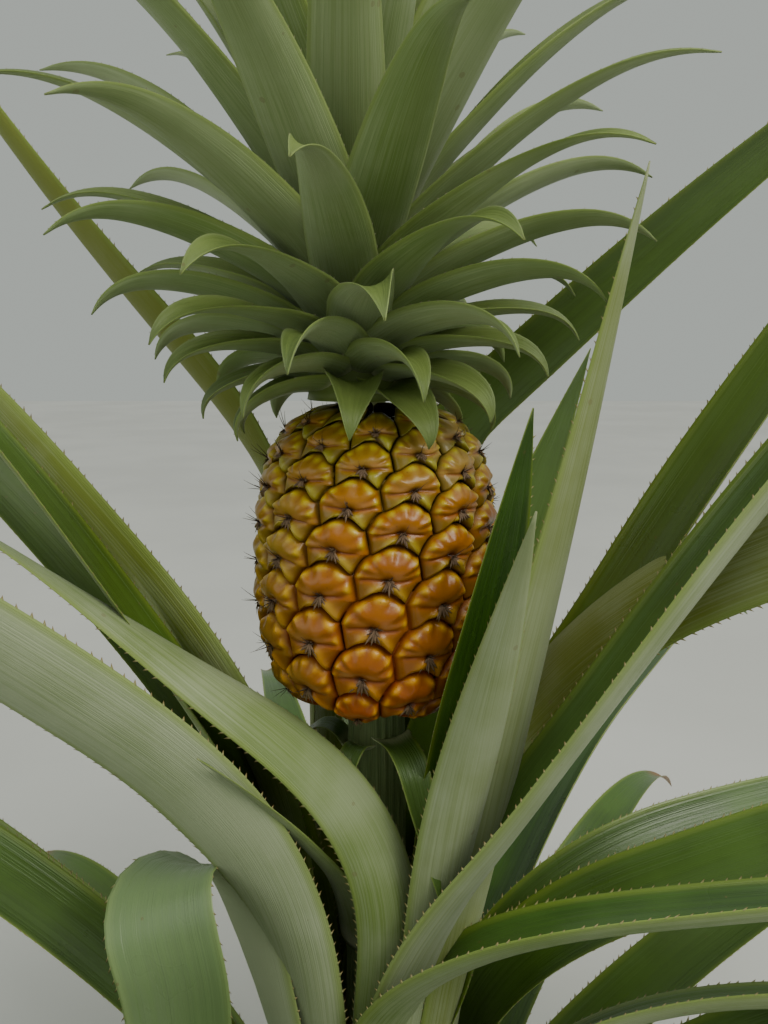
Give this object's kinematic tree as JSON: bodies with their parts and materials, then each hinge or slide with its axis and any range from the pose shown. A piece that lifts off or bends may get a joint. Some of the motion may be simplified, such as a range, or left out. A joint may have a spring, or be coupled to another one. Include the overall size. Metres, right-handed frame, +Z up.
{
  "type": "pineapple plant",
  "caption": "Pineapple plant in fruit: a short stem with a rosette of long spiny leaves, and on a leafy stalk one ripening fruit under its leafy crown.",
  "frame": {"origin": "centre of the flat cut under the stem, at ground level", "axes": "+Z up the stem; +Y the way the stalk, fruit and crown lean, away from the picture's camera; +X to the right in the picture"},
  "size_m": [1.2703, 1.2636, 0.8827],
  "materials": {
    "stem": "rough, fibrous",
    "stalk": "matte",
    "fruit": "waxy, glossy eyes",
    "crown_leaf": "satin with a grey bloom",
    "leaf": "glossy above, pale and scurfy below"
  },
  "bodies": {
    "root": {"stem": "stem", "stalk": "stalk", "fruit": "fruit", "crown_heart": "crown_leaf", "crown_middle": "crown_leaf", "crown_lower": "crown_leaf", "crown_skirt": "crown_leaf", "stalk_leaf_1": "leaf", "stalk_leaf_2": "leaf", "stalk_leaf_3": "leaf", "stalk_leaf_4": "leaf", "stalk_leaf_5": "leaf", "stalk_leaf_6": "leaf", "leaf_01": "leaf", "leaf_02": "leaf", "leaf_03": "leaf", "leaf_04": "leaf", "leaf_05": "leaf", "leaf_06": "leaf", "leaf_07": "leaf", "leaf_08": "leaf", "leaf_09": "leaf", "leaf_10": "leaf", "leaf_11": "leaf", "leaf_12": "leaf", "leaf_13": "leaf", "leaf_14": "leaf", "leaf_15": "leaf", "leaf_16": "leaf", "leaf_17": "leaf", "leaf_18": "leaf", "leaf_19": "leaf", "leaf_20": "leaf", "leaf_21": "leaf", "leaf_22": "leaf", "leaf_23": "leaf", "leaf_24": "leaf", "leaf_25": "leaf", "leaf_26": "leaf", "leaf_27": "leaf", "leaf_28": "leaf", "leaf_29": "leaf", "leaf_30": "leaf", "leaf_31": "leaf", "leaf_32": "leaf", "leaf_33": "leaf", "leaf_34": "leaf", "leaf_35": "leaf", "leaf_36": "leaf", "leaf_37": "leaf", "leaf_38": "leaf", "leaf_39": "leaf", "leaf_40": "leaf"}
  },
  "joints": []
}
